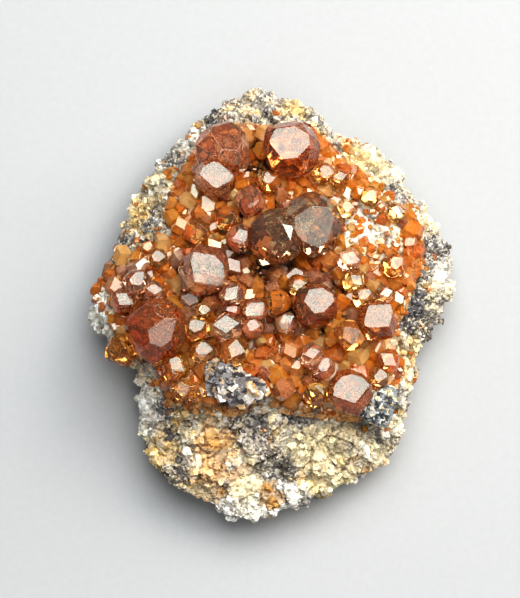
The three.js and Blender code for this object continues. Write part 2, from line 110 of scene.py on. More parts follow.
class RockSettings(bpy.types.PropertyGroup):
    """Sizes and colours of the rock."""

    mesh_size: length("Mesh size", "Spacing of the points on the rock", 0.33 * MM)
    block_size: length("Block size", "Width of the large broken blocks", 3.4 * MM)
    block_relief: length("Block relief", "How far the blocks stand out of each other", 0.6 * MM)
    grain_size: length("Grain size", "Width of the mineral grains", 0.95 * MM)
    grain_relief: length("Grain relief", "How far the grains stand out of each other", 0.18 * MM)
    chips: amount("Loose grains", "Number of grains that stand on the rock", 5800)
    cream: colour("Cream", "Colour of most of the feldspar", srgb(250, 234, 194))
    yellow: colour("Yellow", "Colour of stained feldspar", srgb(244, 206, 132))
    peach: colour("Peach", "Colour of rusty feldspar", srgb(244, 200, 146))
    white: colour("White", "Colour of clean feldspar", srgb(248, 244, 232))
    grey: colour("Grey", "Colour of the quartz", srgb(184, 178, 170))
    dark: colour("Dark", "Colour of the dark grains", srgb(100, 97, 100))
    amber: colour("Amber", "Colour of stained spots", srgb(206, 150, 64))
    bed: colour("Bed", "Colour of the rock under the crystals", srgb(255, 188, 106))
    # The deep bed colour is painted shade for the gaps between the small crystals.
    shade: colour("Deep bed", "Colour of its dark parts", srgb(70, 30, 16))


class GarnetSettings(bpy.types.PropertyGroup):
    """Optics and numbers of the garnets."""

    ior: bpy.props.FloatProperty(
        name="Index of refraction", description="Of manganese garnet", default=1.8, min=1, max=2.5
    )
    clearness: bpy.props.FloatProperty(
        name="Clearness",
        description="Share of the light that goes into the crystals",
        default=0.95,
        min=0,
        max=1,
        subtype="FACTOR",
    )
    edge: length("Edge", "Width of the worn crystal edges", 0.035 * MM)
    tries: amount("Small crystal tries", "Places tried for the small crystals", 90000)
    largest: length("Largest small crystal", "Radius of the largest of the small crystals", 1.85 * MM)
    smallest: length("Smallest small crystal", "Radius of the smallest of them", 0.28 * MM)


class StageSettings(bpy.types.PropertyGroup):
    """Camera, lights and floor."""

    elevation: bpy.props.FloatProperty(
        name="Elevation",
        description="Height of the camera above the horizon",
        default=math.radians(79),
        subtype="ANGLE",
    )
    distance: length("Camera distance", "From the camera to the specimen", 0.42)
    view_width: length("View width", "Width of the view at the specimen", 86.8 * MM)
    key_size: length("Key light size", "Width of the large soft light", 0.62)
    key_power: power("Key power", "Power of the large soft light", 4.6)
    side_power: power("Side power", "Power of the smaller light at the right", 2.6)
    front_power: power("Front power", "Power of the weak light at the front", 0.6)
    fill: bpy.props.FloatProperty(
        name="Fill", description="Strength of the even light from all around", default=0.16, min=0
    )
    floor: colour("Floor", "Colour of the floor", srgb(166, 166, 165))


SETTINGS = {"rock": RockSettings, "garnet": GarnetSettings, "stage": StageSettings}


def settings(kind):
    return getattr(bpy.context.scene, "specimen_" + kind)


# ------------ shader building blocks


def set_inputs(node, values):
    """Sets a node's inputs to values {name or index: value}."""
    for key, value in values.items():
        node.inputs[key].default_value = value


def add_node(tree, kind, values=None, **attributes):
    """A node with its attributes and its named input values set."""
    node = tree.nodes.new(kind)
    for key, value in attributes.items():
        setattr(node, key, value)
    set_inputs(node, values or {})
    return node


def wire(tree, *routes):
    """Links nodes. Each route is (node, output, node, input)."""
    for source, output, target, entry in routes:
        tree.links.new(source.outputs[output], target.inputs[entry])


def new_group(name, inputs, outputs):
    """An empty shader node group: a vector input, float inputs {name: default} and named float outputs."""
    tree = bpy.data.node_groups.new(name, "ShaderNodeTree")
    tree.interface.new_socket("Vector", in_out="INPUT", socket_type="NodeSocketVector")
    for label, default in inputs.items():
        socket = tree.interface.new_socket(label, in_out="INPUT", socket_type="NodeSocketFloat")
        socket.default_value = default
    for label in outputs:
        tree.interface.new_socket(label, in_out="OUTPUT", socket_type="NodeSocketFloat")
    return tree, tree.nodes.new("NodeGroupInput"), tree.nodes.new("NodeGroupOutput")


def mineral_grain_group():
    """Fine crystalline grain: a mask of pale and dark specks and a height for bump."""
    name = "mineral_grain"
    if name in bpy.data.node_groups:
        return bpy.data.node_groups[name]
    inputs = {"Scale": 1500.0, "Roughness": 0.65, "Distortion": 0.3}
    tree, start, end = new_group(name, inputs, ("Mask", "Height"))
    cloud = add_node(tree, "ShaderNodeTexNoise", {"Detail": 6.0})
    cells = add_node(tree, "ShaderNodeTexVoronoi", {"Randomness": 1.0})
    double = add_node(tree, "ShaderNodeMath", {1: 1.7}, operation="MULTIPLY")
    mix = add_node(tree, "ShaderNodeMath", {1: 0.6}, operation="MULTIPLY_ADD")
    wire(
        tree,
        (start, "Vector", cloud, "Vector"),
        (start, "Vector", cells, "Vector"),
        (start, "Scale", cloud, "Scale"),
        (start, "Scale", double, 0),
        (double, 0, cells, "Scale"),
        (start, "Roughness", cloud, "Roughness"),
        (start, "Distortion", cloud, "Distortion"),
        (cells, "Distance", mix, 0),
        (cloud, "Fac", mix, 2),
        (cloud, "Fac", end, "Mask"),
        (mix, 0, end, "Height"),
    )
    return tree


def crystal_veils_group():
    """Cloudy veils and healed cracks inside a crystal: one mask for each, and the steps on its faces."""
    name = "crystal_veils"
    if name in bpy.data.node_groups:
        return bpy.data.node_groups[name]
    inputs = {"Scale": 260.0, "Crack Scale": 420.0, "Step Scale": 900.0}
    tree, start, end = new_group(name, inputs, ("Cloud", "Crack", "Steps"))
    cloud = add_node(tree, "ShaderNodeTexNoise", {"Detail": 5.0, "Roughness": 0.6, "Distortion": 0.8})
    cloud_range = add_node(tree, "ShaderNodeMapRange", {"From Min": 0.38, "From Max": 0.68})
    cells = add_node(tree, "ShaderNodeTexVoronoi", feature="DISTANCE_TO_EDGE")
    wobble = add_node(tree, "ShaderNodeTexNoise", {"Scale": 900.0, "Detail": 3.0})
    shift = add_node(tree, "ShaderNodeVectorMath", {"Scale": 0.0008}, operation="SCALE")
    moved = add_node(tree, "ShaderNodeVectorMath", operation="ADD")
    crack_range = add_node(
        tree, "ShaderNodeMapRange", {"From Min": 0.0, "From Max": 0.05, "To Min": 1.0, "To Max": 0.0}
    )
    steps = add_node(tree, "ShaderNodeTexNoise", {"Detail": 2.0, "Roughness": 0.4})
    wire(
        tree,
        (start, "Vector", cloud, "Vector"),
        (start, "Vector", wobble, "Vector"),
        (start, "Vector", steps, "Vector"),
        (start, "Scale", cloud, "Scale"),
        (start, "Crack Scale", cells, "Scale"),
        (start, "Step Scale", steps, "Scale"),
        (wobble, "Color", shift, 0),
        (shift, 0, moved, 0),
        (start, "Vector", moved, 1),
        (moved, 0, cells, "Vector"),
        (cloud, "Fac", cloud_range, "Value"),
        (cells, "Distance", crack_range, "Value"),
        (cloud_range, 0, end, "Cloud"),
        (crack_range, 0, end, "Crack"),
        (steps, "Fac", end, "Steps"),
    )
    return tree


def start_material(name):
    """A material with a Principled shader, its output and object coordinates."""
    material = bpy.data.materials.new(name)
    material.use_nodes = True
    tree = material.node_tree
    tree.nodes.clear()
    out = tree.nodes.new("ShaderNodeOutputMaterial")
    shader = tree.nodes.new("ShaderNodeBsdfPrincipled")
    tree.links.new(shader.outputs[0], out.inputs["Surface"])
    place = tree.nodes.new("ShaderNodeTexCoord")
    return material, tree, shader, out, place.outputs["Object"]


def place_group(tree, group, vector, values):
    """The group in a material's tree, fed with the coordinates and with values of its own."""
    node = tree.nodes.new("ShaderNodeGroup")
    node.node_tree = group
    tree.links.new(vector, node.inputs["Vector"])
    set_inputs(node, values)
    return node


def mixed(tree, factor, first, second, blend="MIX"):
    """A colour mix. factor is a number or an output, and so are first and second, or plain colours."""
    node = add_node(tree, "ShaderNodeMix", data_type="RGBA", blend_type=blend)
    for index, source in ((0, factor), (6, first), (7, second)):
        if isinstance(source, (int, float)):
            node.inputs[index].default_value = source
        elif isinstance(source, tuple):
            node.inputs[index].default_value = (*source[:3], 1)
        else:
            tree.links.new(source, node.inputs[index])
    return node.outputs[2]


def ranged(tree, value, low, high, to_low, to_high):
    """value, from low to high, mapped to to_low to to_high."""
    limits = {"From Min": low, "From Max": high, "To Min": to_low, "To Max": to_high}
    node = add_node(tree, "ShaderNodeMapRange", limits)
    tree.links.new(value, node.inputs["Value"])
    return node.outputs[0]


def bumped(tree, shader, height, strength, distance):
    node = add_node(tree, "ShaderNodeBump", {"Strength": strength, "Distance": distance})
    tree.links.new(height, node.inputs["Height"])
    tree.links.new(node.outputs[0], shader.inputs["Normal"])


def tint(tree):
    """The colour attribute that each grain or crystal carries."""
    return add_node(tree, "ShaderNodeAttribute", attribute_name="tint")


# ------------ materials


def speckle_group():
    """Fine crumbly rock: a random value for each grain, a mask of pits between grains, and a height."""
    inputs = {"Scale": 2500.0, "Pit Scale": 1300.0}
    tree, start, end = new_group("speckle", inputs, ("Grain", "Pit", "Height"))
    wobble = add_node(tree, "ShaderNodeTexNoise", {"Scale": 2600.0, "Detail": 2.0})
    shift = add_node(tree, "ShaderNodeVectorMath", {"Scale": 0.0005}, operation="SCALE")
    moved = add_node(tree, "ShaderNodeVectorMath", operation="ADD")
    cells = add_node(tree, "ShaderNodeTexVoronoi")
    parts = add_node(tree, "ShaderNodeSeparateColor")
    pits = add_node(tree, "ShaderNodeTexNoise", {"Detail": 4.0, "Roughness": 0.7})
    pit_range = add_node(
        tree, "ShaderNodeMapRange", {"From Min": 0.3, "From Max": 0.44, "To Min": 1.0, "To Max": 0.0}
    )
    height = add_node(tree, "ShaderNodeMath", {1: -0.7}, operation="MULTIPLY_ADD")
    wire(
        tree,
        (start, "Vector", wobble, "Vector"),
        (start, "Vector", moved, 0),
        (wobble, "Color", shift, 0),
        (shift, 0, moved, 1),
        (moved, 0, cells, "Vector"),
        (start, "Scale", cells, "Scale"),
        (start, "Vector", pits, "Vector"),
        (start, "Pit Scale", pits, "Scale"),
        (pits, "Fac", pit_range, "Value"),
        (cells, "Color", parts, 0),
        (cells, "Distance", height, 0),
        (pits, "Fac", height, 2),
        (parts, 0, end, "Grain"),
        (pit_range, 0, end, "Pit"),
        (height, 0, end, "Height"),
    )
    return tree


def rock_material():
    """Crumbly feldspar and quartz. The tint's alpha says how much of the rock is black and white grains."""
    if "broken_rock" in bpy.data.materials:
        return bpy.data.materials["broken_rock"]
    material, tree, shader, _, place = start_material("broken_rock")
    speckle = place_group(tree, speckle_group(), place, {})
    own = tint(tree)
    grain = speckle.outputs["Grain"]
    shaded = mixed(tree, 1.0, own.outputs["Color"], ranged(tree, grain, 0.0, 1.0, 0.78, 1.12), "MULTIPLY")
    black = mixed(tree, ranged(tree, grain, 0.26, 0.4, 0.0, 1.0), srgb(88, 84, 86), own.outputs["Color"])
    pepper = mixed(tree, ranged(tree, grain, 0.74, 0.88, 0.0, 1.0), black, srgb(216, 208, 190))
    peppered = mixed(tree, own.outputs["Alpha"], shaded, pepper)
    # Painted shade: the pits between the grains are darkened towards brown.
    pits_painted_shade = mixed(
        tree,
        ranged(tree, speckle.outputs["Pit"], 0.0, 1.0, 0.0, 0.9),
        peppered,
        mixed(tree, 1.0, peppered, srgb(108, 76, 50), "MULTIPLY"),
    )
    tree.links.new(pits_painted_shade, shader.inputs["Base Color"])
    glossy = mixed(tree, grain, (0.8, 0.8, 0.8), (0.3, 0.3, 0.3))
    tree.links.new(mixed(tree, own.outputs["Alpha"], (0.75, 0.75, 0.75), glossy), shader.inputs["Roughness"])
    shader.inputs["IOR"].default_value = 1.53
    bumped(tree, shader, speckle.outputs["Height"], 0.75, 0.0002)
    return material


# Tones of garnet: colours of the body and its veils, the light that passes and how fast the rest is lost,
# colours of what is inside, and for the small crystals the colours they have.
GARNETS = {
    "deep": {
        "body": srgb(250, 196, 144), "veil": srgb(252, 212, 172),
        "absorb": (0.96, 0.63, 0.31), "density": 165.0,
        "inside": ((168, 92, 52), (222, 146, 86), (244, 200, 140)),
    },
    "brown": {
        "body": srgb(250, 208, 178), "veil": srgb(254, 224, 202),
        "absorb": (0.95, 0.72, 0.44), "density": 120.0,
        "inside": ((206, 130, 92), (234, 172, 130), (250, 218, 184)),
        "grains": ((234, 190, 164), (218, 158, 124), (196, 126, 88), (240, 208, 188), (160, 92, 60)),
    },
    "smoky": {
        "body": srgb(234, 208, 178), "veil": srgb(240, 220, 194),
        "absorb": (0.97, 0.66, 0.36), "density": 75.0,
        "inside": ((156, 92, 52), (224, 158, 98), (252, 232, 184)),
    },
    "orange": {
        "body": srgb(255, 202, 130), "veil": srgb(255, 222, 164),
        "absorb": (0.98, 0.74, 0.24), "density": 160.0,
        "inside": ((226, 132, 56), (244, 174, 90), (252, 218, 146)),
        "grains": (
            (254, 182, 100), (250, 166, 82), (255, 208, 138),
            (240, 144, 72), (252, 176, 102), (234, 168, 124),
        ),
    },
    "amber": {
        "body": srgb(255, 202, 126), "veil": srgb(255, 220, 164),
        "absorb": (1.0, 0.75, 0.36), "density": 90.0,
        "inside": ((240, 150, 64), (250, 186, 96), (252, 216, 150)),
        "grains": ((255, 188, 90), (255, 174, 74), (255, 162, 64), (255, 220, 156)),
    },
}


def garnet_material(tone, grains=False):
    """Clear garnet with veils. grains is True for the small crystals, which each carry their own tint."""
    name = ("small_clear_" if grains else "large_clear_") + tone
    if name in bpy.data.materials:
        return bpy.data.materials[name]
    values = GARNETS[tone]
    garnet = settings("garnet")
    material, tree, shader, out, place = start_material(name)
    scales = {"Scale": 800.0, "Crack Scale": 1100.0} if grains else {}
    veils = place_group(tree, crystal_veils_group(), place, scales)
    if grains:
        own = tint(tree).outputs["Color"]
        deep = mixed(tree, 1.0, own, srgb(246, 216, 184), "MULTIPLY")
        body = mixed(tree, veils.outputs["Cloud"], deep, own)
    else:
        cloud = ranged(tree, veils.outputs["Cloud"], 0.0, 1.0, 0.0, 0.6)
        body = mixed(tree, cloud, values["body"], values["veil"])
    crack = ranged(tree, veils.outputs["Crack"], 0.0, 1.0, 0.0, 0.6 if grains else 0.22)
    tree.links.new(mixed(tree, crack, body, values["veil"]), shader.inputs["Base Color"])
    rough = ranged(tree, veils.outputs["Steps"], 0.35, 0.7, 0.04, 0.09)
    tree.links.new(rough, shader.inputs["Roughness"])
    clear = garnet.clearness - (0.33 if grains else 0)
    set_inputs(shader, {"IOR": garnet.ior, "Transmission Weight": clear})
    set_inputs(shader, {"Specular Tint": (0.87, 1.0, 0.93, 1)})
    bumped(tree, shader, veils.outputs["Steps"], 0.05 if grains else 0.004, 0.0002)
    density = values["density"] * (0.45 if grains else 0.85)
    passing = {"Density": density, "Color": (*values["absorb"], 1)}
    inside = add_node(tree, "ShaderNodeVolumeAbsorption", passing)
    tree.links.new(inside.outputs[0], out.inputs["Volume"])
    return material


def flecked_material(name, grain_values, shades, bump):
    """Small bodies, each with a colour of its own, which fine grain lifts by the range in shades."""
    material, tree, shader, _, place = start_material(name)
    grain = place_group(tree, mineral_grain_group(), place, grain_values)
    fine = ranged(tree, grain.outputs["Mask"], 0.3, 0.7, *shades)
    flecked = mixed(tree, 1.0, tint(tree).outputs["Color"], fine, "MULTIPLY")
    tree.links.new(flecked, shader.inputs["Base Color"])
    bumped(tree, shader, grain.outputs["Height"], bump, 0.0001)
    return material, tree, shader, grain


def feather_material():
    """Cloudy feathers and root mass inside the crystals."""
    grain_values = {"Scale": 1300.0, "Roughness": 0.7}
    material, _, shader, _ = flecked_material("feathers", grain_values, (0.6, 1.25), 0.4)
    set_inputs(shader, {"Roughness": 0.5})
    return material


def glassy_material(name):
    """Glassy mineral in plates and grains, with fine grain in its colour whose paler specks stand for
    cleavage flashes, a painted glint.
    """
    material, tree, shader, grain = flecked_material(name, {"Scale": 1100.0}, (0.65, 1.3), 0.35)
    tree.links.new(ranged(tree, grain.outputs["Mask"], 0.3, 0.7, 0.12, 0.45), shader.inputs["Roughness"])
    set_inputs(shader, {"IOR": 1.56})
    return material


# ------------ meshes from convex bodies


def permuted_normals(a, b, c):
    """Unit normals of the crystal form {a b c}."""
    found = {}
    for trio in ((a, b, c), (b, c, a), (c, a, b), (a, c, b), (c, b, a), (b, a, c)):
        for signs in itertools.product((-1, 1), repeat=3):
            normal = Vector([v * sign for v, sign in zip(trio, signs)]).normalized()
            found[tuple(round(v, 4) + 0.0 for v in normal)] = normal
    return list(found.values())


RHOMBS = permuted_normals(1, 1, 0)
KITES = permuted_normals(2, 1, 1)


def convex_from_planes(planes):
    """Corners and triangles of the body that planes [(normal, distance)] enclose, about the origin."""
    dual = bmesh.new()
    for normal, distance in planes:
        dual.verts.new(normal / distance)
    bmesh.ops.convex_hull(dual, input=dual.verts)
    corners = []
    for face in dual.faces:
        normal = face.normal
        corner = normal / normal.dot(face.verts[0].co)
        if all((corner - other).length > 0.02 for other in corners):
            corners.append(corner)
    dual.free()
    body = bmesh.new()
    for corner in corners:
        body.verts.new(corner)
    made = bmesh.ops.convex_hull(body, input=body.verts)
    loose = [v for v in made["geom_interior"] if isinstance(v, bmesh.types.BMVert)]
    bmesh.ops.delete(body, geom=loose, context="VERTS")
    bmesh.ops.triangulate(body, faces=body.faces)
    bmesh.ops.recalc_face_normals(body, faces=body.faces)
    body.verts.index_update()
    points = np.array([v.co[:] for v in body.verts])
    triangles = np.array([[v.index for v in f.verts] for f in body.faces])
    body.free()
    return points, triangles


def garnet_shape(rng, habit, kites=True, uneven=0.1):
    """A garnet crystal of radius 1. uneven says how differently its faces have grown."""
    planes = [(n, 0.93 * habit * rng.uniform(1 - uneven, 1.1)) for n in RHOMBS]
    if kites:
        planes += [(n, 0.93 * rng.uniform(1 - uneven, 1.1)) for n in KITES]
    return convex_from_planes(planes)


def needle_shape():
    """A thin four-sided thread, 2 long."""
    sides = [(Vector((0, math.cos(a), math.sin(a))), 0.022) for a in (0.3, 1.87, 3.44, 5.01)]
    return convex_from_planes(sides + [(Vector((1, 0, 0)), 1), (Vector((-1, 0, 0)), 1)])


def chunk_shape(rng):
    """A broken mineral grain of radius about 1: a squat block with a few odd faces."""
    planes = []
    for axis in (Vector((1, 0, 0)), Vector((0, 1, 0)), Vector((0, 0, 1))):
        for side in (-1, 1):
            wander = Vector([rng.uniform(-0.25, 0.25) for _ in range(3)])
            planes.append(((axis * side + wander).normalized(), rng.uniform(0.55, 0.95)))
    for _ in range(3):
        odd = Vector([rng.gauss(0, 1) for _ in range(3)]).normalized()
        planes.append((odd, rng.uniform(0.7, 1.0)))
    return convex_from_planes(planes)


def pebble_shape(rng):
    """A rounded crumb of radius about 1, with small flat faces."""
    planes = []
    for step in range(9):
        height = 1 - (2 * step + 1) / 9
        angle = 2.4 * step + rng.uniform(-0.4, 0.4)
        ring = math.sqrt(1 - height**2)
        normal = Vector((ring * math.cos(angle), ring * math.sin(angle), height + rng.uniform(-0.15, 0.15)))
        planes.append((normal.normalized(), rng.uniform(0.62, 0.95)))
    return convex_from_planes(planes)


def flake_shape(rng):
    """A thin plate with an irregular five to seven sided outline."""
    planes = [(UP, 0.16), (-UP, 0.16)]
    count = rng.randint(5, 7)
    for step in range(count):
        angle = 2 * math.pi * (step + rng.uniform(-0.25, 0.25)) / count
        tilt = rng.uniform(-0.3, 0.3)
        side = Vector((math.cos(angle), math.sin(angle), tilt)).normalized()
        planes.append((side, rng.uniform(0.6, 0.95)))
    return convex_from_planes(planes)


def random_turn(rng):
    """A rotation matrix, evenly spread over all directions."""
    quaternion = Quaternion([rng.gauss(0, 1) for _ in range(4)]).normalized()
    return np.array(quaternion.to_matrix())


class Gathering:
    """Collects many small bodies, each with a tint, into one mesh."""

    def __init__(self):
        self.points = []
        self.triangles = []
        self.tints = []
        self.count = 0

    def add(self, shape, turn, size, place, tone, root=0.0):
        """root is the share by which the body is painted darker at its foot, a painted shade where the
        crystals meet.
        """
        points, triangles = shape
        turned = points @ turn.T
        # Painted shade: the lower part of each body is darkened, most at its foot and least in red.
        foot = root * (1 - smooth_step(turned[:, 2], -0.3, 0.7))
        tints = np.tile(np.array(tone, dtype=np.float32), (len(points), 1))
        tints[:, :3] *= 1 - foot[:, None] * np.array((0.8, 1, 1))
        self.points.append(turned * size + np.array(place))
        self.triangles.append(triangles + self.count)
        self.tints.append(tints)
        self.count += len(points)

    def build(self, name, material):
        mesh = bpy.data.meshes.new(name)
        mesh.from_pydata(np.vstack(self.points).tolist(), [], np.vstack(self.triangles).tolist())
        mesh.update()
        set_tint(mesh, np.vstack(self.tints))
        return add_piece(name, mesh, material)


def set_tint(mesh, tints):
    layer = mesh.color_attributes.new("tint", "FLOAT_COLOR", "POINT")
    layer.data.foreach_set("color", np.asarray(tints, dtype=np.float32).ravel())


def add_piece(name, mesh, material):
    piece = bpy.data.objects.new(name, mesh)
    bpy.context.scene.collection.objects.link(piece)
    piece.data.materials.clear()
    piece.data.materials.append(material)
    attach(piece, "root")
    return piece


def node_tree_of(names):
    """One ray-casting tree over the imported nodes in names."""
    points = []
    faces = []
    for name in names:
        node = frame["nodes"][name]
        base = len(points)
        points.extend(node.matrix_world @ v.co for v in node.data.vertices)
        faces.extend([base + i for i in polygon.vertices] for polygon in node.data.polygons)
    return BVHTree.FromPolygons(points, faces)


def drop(tree, x, y):
    """Height and normal where a line straight down through x, y meets the tree, or None."""
    place, normal, _, _ = tree.ray_cast(Vector((x, y, 0.2)), -UP)
    return None if place is None else (place.z, normal)


GARNET_NODES = [name for name in frame["nodes"] if name.startswith("garnet_")]
GARNET_TONES = {
    row["node"]: row["material_slot"].split("_")[1]
    for row in frame["record"]["subparts"]
    if row["node"] in GARNET_NODES
}
crust_tree = node_tree_of([CRUST_NODE])
garnet_tree = node_tree_of(GARNET_NODES)

# ------------ minerals of the rock

# Places where one mineral gathers: x, y, reach in mm, strength.
PATCHES = {
    "grey": (
        (26, 7, 4, 1.8), (28, -2, 4, 1.2), (17, 8.6, 2.4, 2.0), (20, 17.4, 2.4, 1.6), (-18, 24, 4, 1.2),
        (-29, -5, 2, 0.8), (-2, 34, 5, 1.5), (2, 30, 4, 1.2), (-5.4, -21.8, 3.2, 1.8),
        (-2, -23.6, 2.4, 1.6), (5.4, -19.4, 4.2, 1.6), (6, -33.6, 2.4, 1.6),
    ),
    "dark": (
        (27.6, 9, 2, 1.4), (23.5, 0.8, 3.6, 2.6), (23.5, -4, 3, 2.4), (-9.6, 30.6, 3, 2.2),
        (-20, 10.8, 3, 1.2), (-25, 10, 1.8, 1.2), (-26, -7, 1.8, 1.0), (-17.8, -18.4, 1.5, 2.4),
        # The dark patch at -15.7, -29 is painted shadow along the lower left foot of the rock, not a dark
        # mineral.
        (-17.3, -22.4, 1.2, 2.2), (0.4, -28, 3, 2.0), (12, -19.6, 3, 1.0), (-15.7, -29, 3.2, 1.2),
    ),
    "cream": (
        (27, 1.5, 2.4, 1.2), (26.6, -1.6, 2, 1.8), (22.5, 7, 2.6, 1.5), (18, 21, 4, 1.0), (-27, 13, 3, 1.6),
        (7, -25, 4.2, 2.4), (9.5, -29, 3, 1.8), (-3.6, -31.6, 2.4, 2.0),
    ),
    "white": (
        (29.5, 4, 2.2, 1.6), (15, 11.6, 4, 2.4), (-14.5, 28.5, 3, 1.0), (-28.5, -3, 4, 2.4),
        (-20.5, -17.5, 3.4, 1.8), (-2.6, -36, 3.2, 4.0), (-8, -35, 2.8, 3.0), (2.2, -33, 3, 1.8),
    ),
    "yellow": (
        (22.5, -8, 4, 1.0), (15.4, 6.6, 2.6, 2.0), (14.6, 23.6, 3, 1.0), (-23, 14, 2.4, 1.4),
        (-27.5, -8.5, 2.6, 1.6), (3.5, 32.5, 3.2, 1.8), (-5, 33, 3, 1.0), (-18, -25, 2.4, 1.4),
        (-15.3, -20.6, 1.6, 1.6),
    ),
    "peach": (
        (-8.6, -26, 5.4, 1.7),
    ),
    "amber": (
        (-8, -32, 1.1, 5.0), (-0.8, -31.1, 0.7, 5.0), (0.2, -33.5, 1.1, 6.0), (-10.5, -23.6, 0.8, 4.0),
    ),
}
# How often each mineral turns up elsewhere, and the width of its patches in mm.
SPREAD = {
    "cream": (0.85, 5.0),
    "white": (0.74, 3.6),
    "yellow": (0.42, 2.8),
    "peach": (0.34, 3.2),
    "grey": (0.5, 3.0),
    "dark": (0.34, 2.2),
    "amber": (0.06, 1.4),
}


def rock_tone(point, rng=None):
    """Colour of the rock at a point, and its share of black and white grains. rng picks it a mineral."""
    place = Vector(point) / MM
    shares = {}
    for step, (mineral, (often, width)) in enumerate(SPREAD.items()):
        swell = noise.noise(place / width + Vector((17.3 * step, 5.1, 9.7 * step)))
        shares[mineral] = max(often + 1.1 * swell, 0.02)
    wobble = 1 + 0.5 * noise.noise(place / 1.5)
    for mineral, places in PATCHES.items():
        for x, y, reach, strength in places:
            away = math.hypot(place.x - x, place.y - y) * wobble
            if away < 1.3 * reach and place.z > 0.3:
                shares[mineral] += strength * (1 - (away / reach / 1.3) ** 2)
    for mineral in shares:
        shares[mineral] **= 2.6
    total = sum(shares.values())
    colours = [getattr(settings("rock"), mineral) for mineral in shares]
    mixture = [sum(w * c[i] for w, c in zip(shares.values(), colours)) / total for i in range(3)]
    pepper = min((shares["grey"] + 1.4 * shares["dark"]) / total, 0.95)
    if rng:
        own = rng.choices(colours, shares.values())[0]
        mixture = [0.45 * a + 0.55 * b for a, b in zip(mixture, own)]
    return (*mixture, pepper)


def smooth_step(value, low, high):
    share = np.clip((value - low) / (high - low), 0, 1)
    return share * share * (3 - 2 * share)


class Cells:
    """Points sorted into irregular cells: the cell of each, the way from its middle and from its edge."""

    def __init__(self, points, size, area, seed):
        rng = random.Random(seed)
        count = int(area / size**2)
        self.middles = points[rng.sample(range(len(points)), count)]
        tree = KDTree(count)
        for index, middle in enumerate(self.middles):
            tree.insert(middle, index)
        tree.balance()
        self.index = np.empty(len(points), dtype=int)
        self.edge = np.empty(len(points))
        for i, point in enumerate(points):
            near, second = tree.find_n(point, 2)
            self.index[i] = near[1]
            self.edge[i] = second[2] - near[2]
        self.away = points - self.middles[self.index]
        self.rng = np.random.default_rng(seed)

    def relief(self, height, tilt, groove):
        """Each cell stands at its own height and slope, with a groove along its edge."""
        count = len(self.middles)
        levels = self.rng.uniform(-1, 1, count) * height
        slopes = self.rng.normal(0, tilt, (count, 3))
        leaning = np.einsum("ij,ij->i", slopes[self.index], self.away)
        sunk = groove * (1 - smooth_step(self.edge, 0, 1.2 * groove))
        return levels[self.index] + leaning - sunk


def remeshed(node, size, smoothing):
    """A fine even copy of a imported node's mesh."""
    copy = bpy.data.objects.new("fine_copy", node.data.copy())
    bpy.context.scene.collection.objects.link(copy)
    voxel = copy.modifiers.new("even", "REMESH")
    voxel.mode = "VOXEL"
    voxel.voxel_size = size
    smooth = copy.modifiers.new("round", "SMOOTH")
    smooth.factor = 0.5
    smooth.iterations = smoothing
    evaluated = copy.evaluated_get(bpy.context.evaluated_depsgraph_get())
    mesh = bpy.data.meshes.new_from_object(evaluated)
    bpy.data.objects.remove(copy)
    return mesh


def read(mesh, kind):
    values = np.empty(len(mesh.vertices) * 3)
    mesh.vertices.foreach_get(kind, values)
    return values.reshape(-1, 3)


# Places in the crystal field where the rock shows: x, y, reach in mm.
BARE = (
    (15.6, 10.4, 7.6), (19.5, 18, 4.6), (-19, 11, 3.6), (-27.5, -1.6, 4),
    (7.5, -4.5, 1.6), (12, -14, 2.4), (-1, -19.5, 2.5), (20, -9, 2.2),
)

# Hollows between the crystals, sunk into the bed and painted dark as shade: x, y, reach in mm.
HOLLOWS = (
    (-1.8, 3, 2.6), (11, 0.2, 2.0), (-4.5, 8.6, 1.6), (3.5, -3.4, 1.4), (-2.2, 20.6, 2.8), (-3, 24.4, 1.6),
    (0.6, 13, 1.5), (3.6, 4, 1.6), (-9.2, -2.4, 1.2), (8.8, -7.4, 1.4), (-15.5, 3.4, 1.2), (5, -14, 1.2),
    (-5.6, 5.4, 1.4), (1.2, -1.2, 1.4), (6.4, -1.4, 1.4), (-4.2, 12.6, 1.2), (12.4, -4.6, 1.2),
)


def hollowness(x, y):
    """1 in the middle of a hollow of the crystal field, 0 away from them."""
    return max(0, *(1 - (math.hypot(x / MM - a, y / MM - b) / reach) ** 2 for a, b, reach in HOLLOWS))


def bareness(x, y):
    """1 in the middle of a bare place, with a wandering border, 0 away from them."""
    place = Vector((x, y, 0)) / MM
    wobble = 1 + 0.6 * noise.noise(place / 2)
    return max(0, *(1 - (math.hypot(place.x - a, place.y - b) * wobble / reach) ** 2 for a, b, reach in BARE))


def bed_rise(x, y, height):
    """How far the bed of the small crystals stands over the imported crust, in heaps and banks."""
    if drop(garnet_tree, x, y):
        return 0
    _, _, _, away = garnet_tree.find_nearest(Vector((x, y, height)))
    bank = 1.3 * MM * math.exp(-((away / (1.5 * MM)) ** 2))
    heap = 0.7 * MM * noise.noise(Vector((x, y, 0)) / (3.2 * MM))
    return bank + heap - 1.6 * MM * hollowness(x, y)


def rock_relief(points, normals, blocks, grains):
    """How far each point moves out, and whether it lies in the bed of the small crystals."""
    rock = settings("rock")
    relief = blocks.relief(rock.block_relief, 0.22, 0.3 * MM)
    relief += grains.relief(rock.grain_relief, 0.3, 0.2 * MM)
    fine = [noise.fractal(Vector(p) / (1.1 * MM), 0.6, 2.2, 4) for p in points]
    relief += np.array(fine) * 0.2 * MM - 0.05 * MM
    relief += np.array([noise.noise(Vector(p) / (2.3 * MM)) for p in points]) * 0.7 * MM
    relief = np.clip(relief, -1.2 * MM, 0.9 * MM)
    inside = np.zeros(len(points), dtype=bool)
    for index, (x, y, z) in enumerate(points):
        if normals[index][2] > 0.3 and drop(crust_tree, x, y):
            inside[index] = True
            relief[index] = 0.4 * relief[index] + 0.6 * MM + bed_rise(x, y, z)
    return relief * smooth_step(points[:, 2], 0.2 * MM, 2.2 * MM), inside


